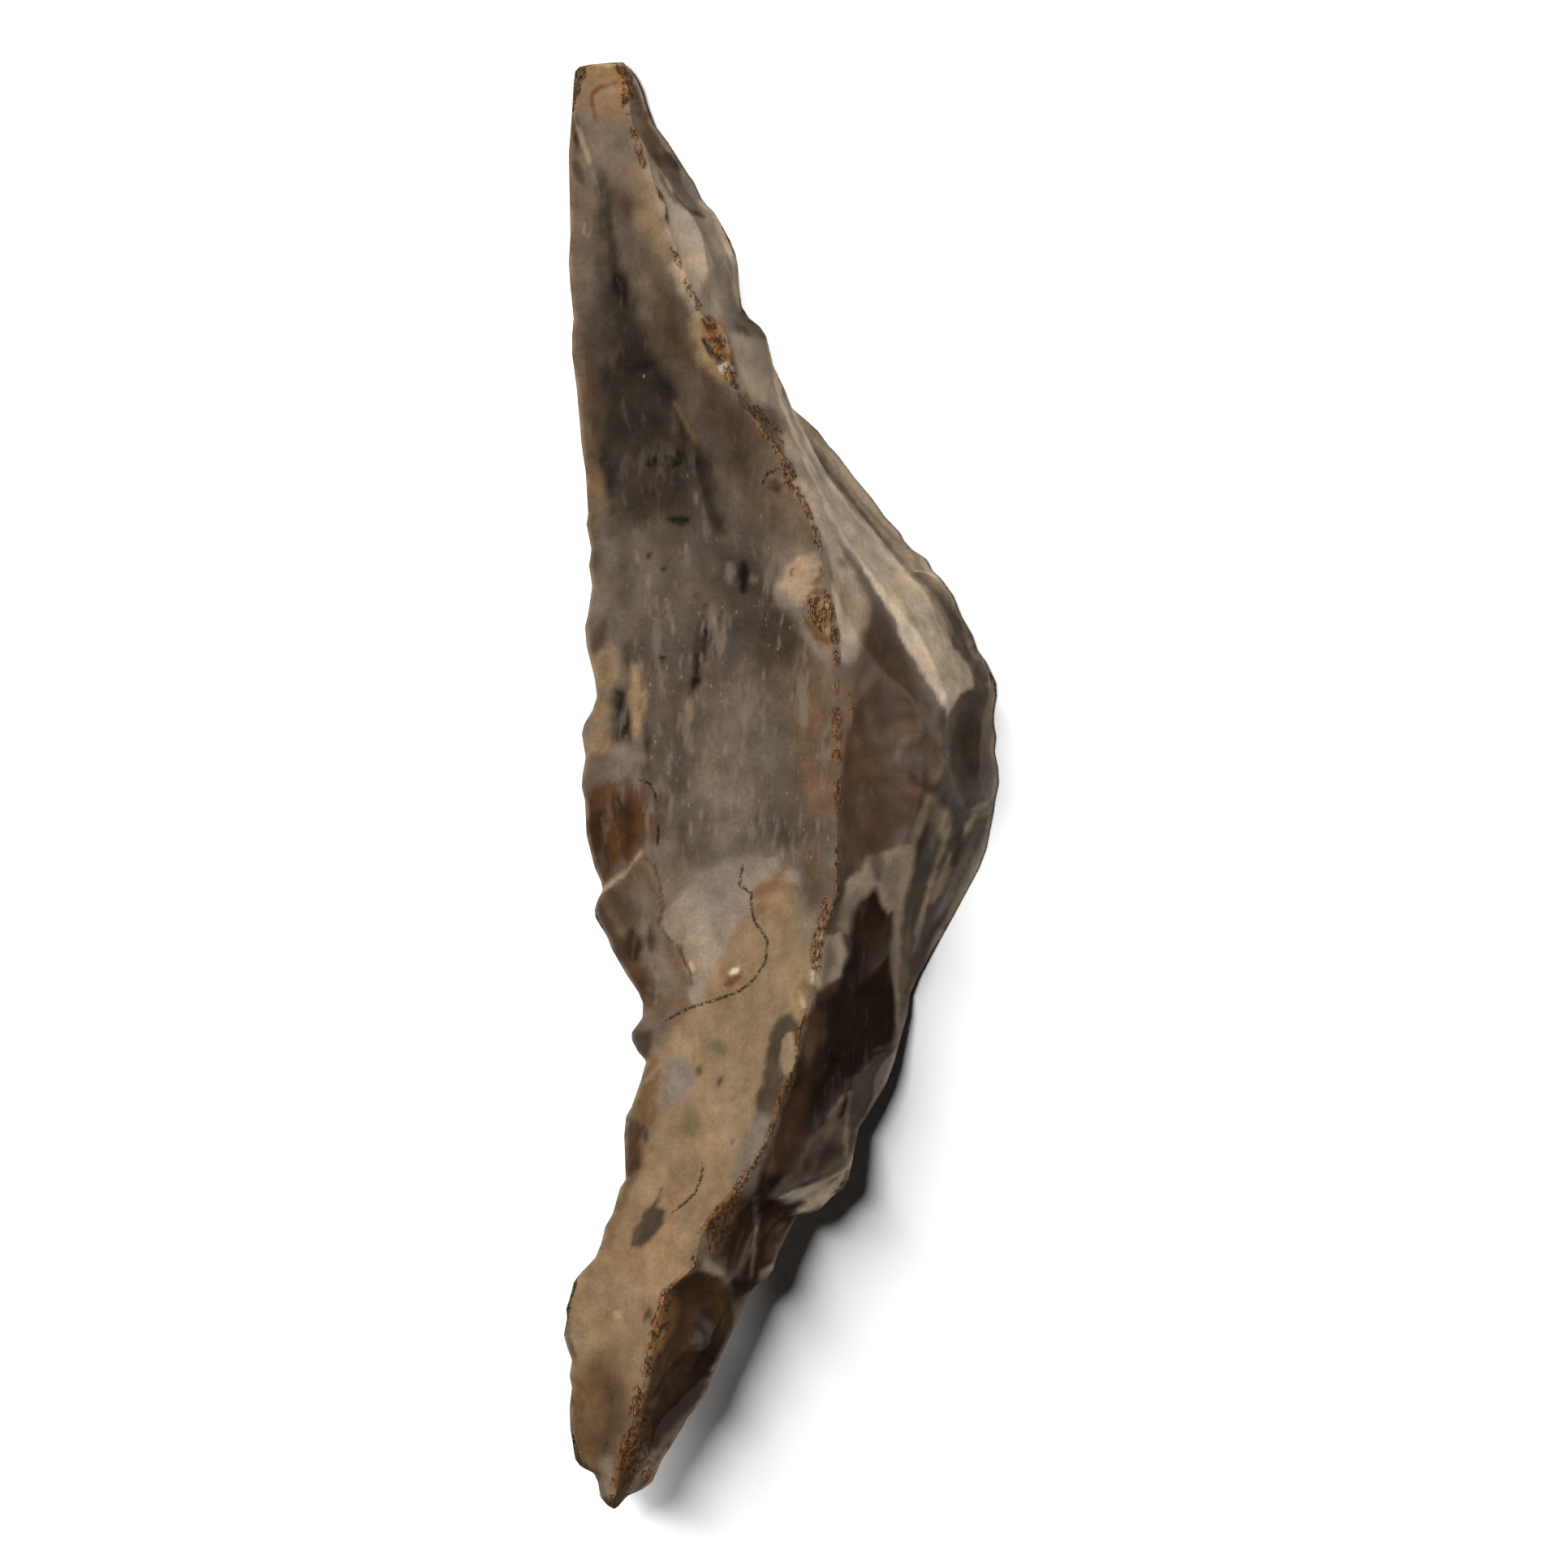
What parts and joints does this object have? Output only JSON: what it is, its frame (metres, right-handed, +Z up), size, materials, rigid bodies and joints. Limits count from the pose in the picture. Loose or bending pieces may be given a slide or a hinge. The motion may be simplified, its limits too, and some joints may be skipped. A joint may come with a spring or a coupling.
{
  "type": "knapped flint sickle blade",
  "caption": "Curved knapped flint sickle blade with a long crest, a bulging back and two narrow tips, lying on the flat of its underside.",
  "frame": {"origin": "middle of the bounding box in plan, on the plane that the resting flat lies on", "axes": "+Y along the blade, from the lower tip, which curves off the table, to the upper tip; +Z up, out of the struck face; +X towards the bulging back"},
  "size_m": [0.045, 0.15, 0.0182],
  "materials": {
    "flint": "satin"
  },
  "bodies": {
    "root": {"flint_blade": "flint"}
  },
  "joints": []
}
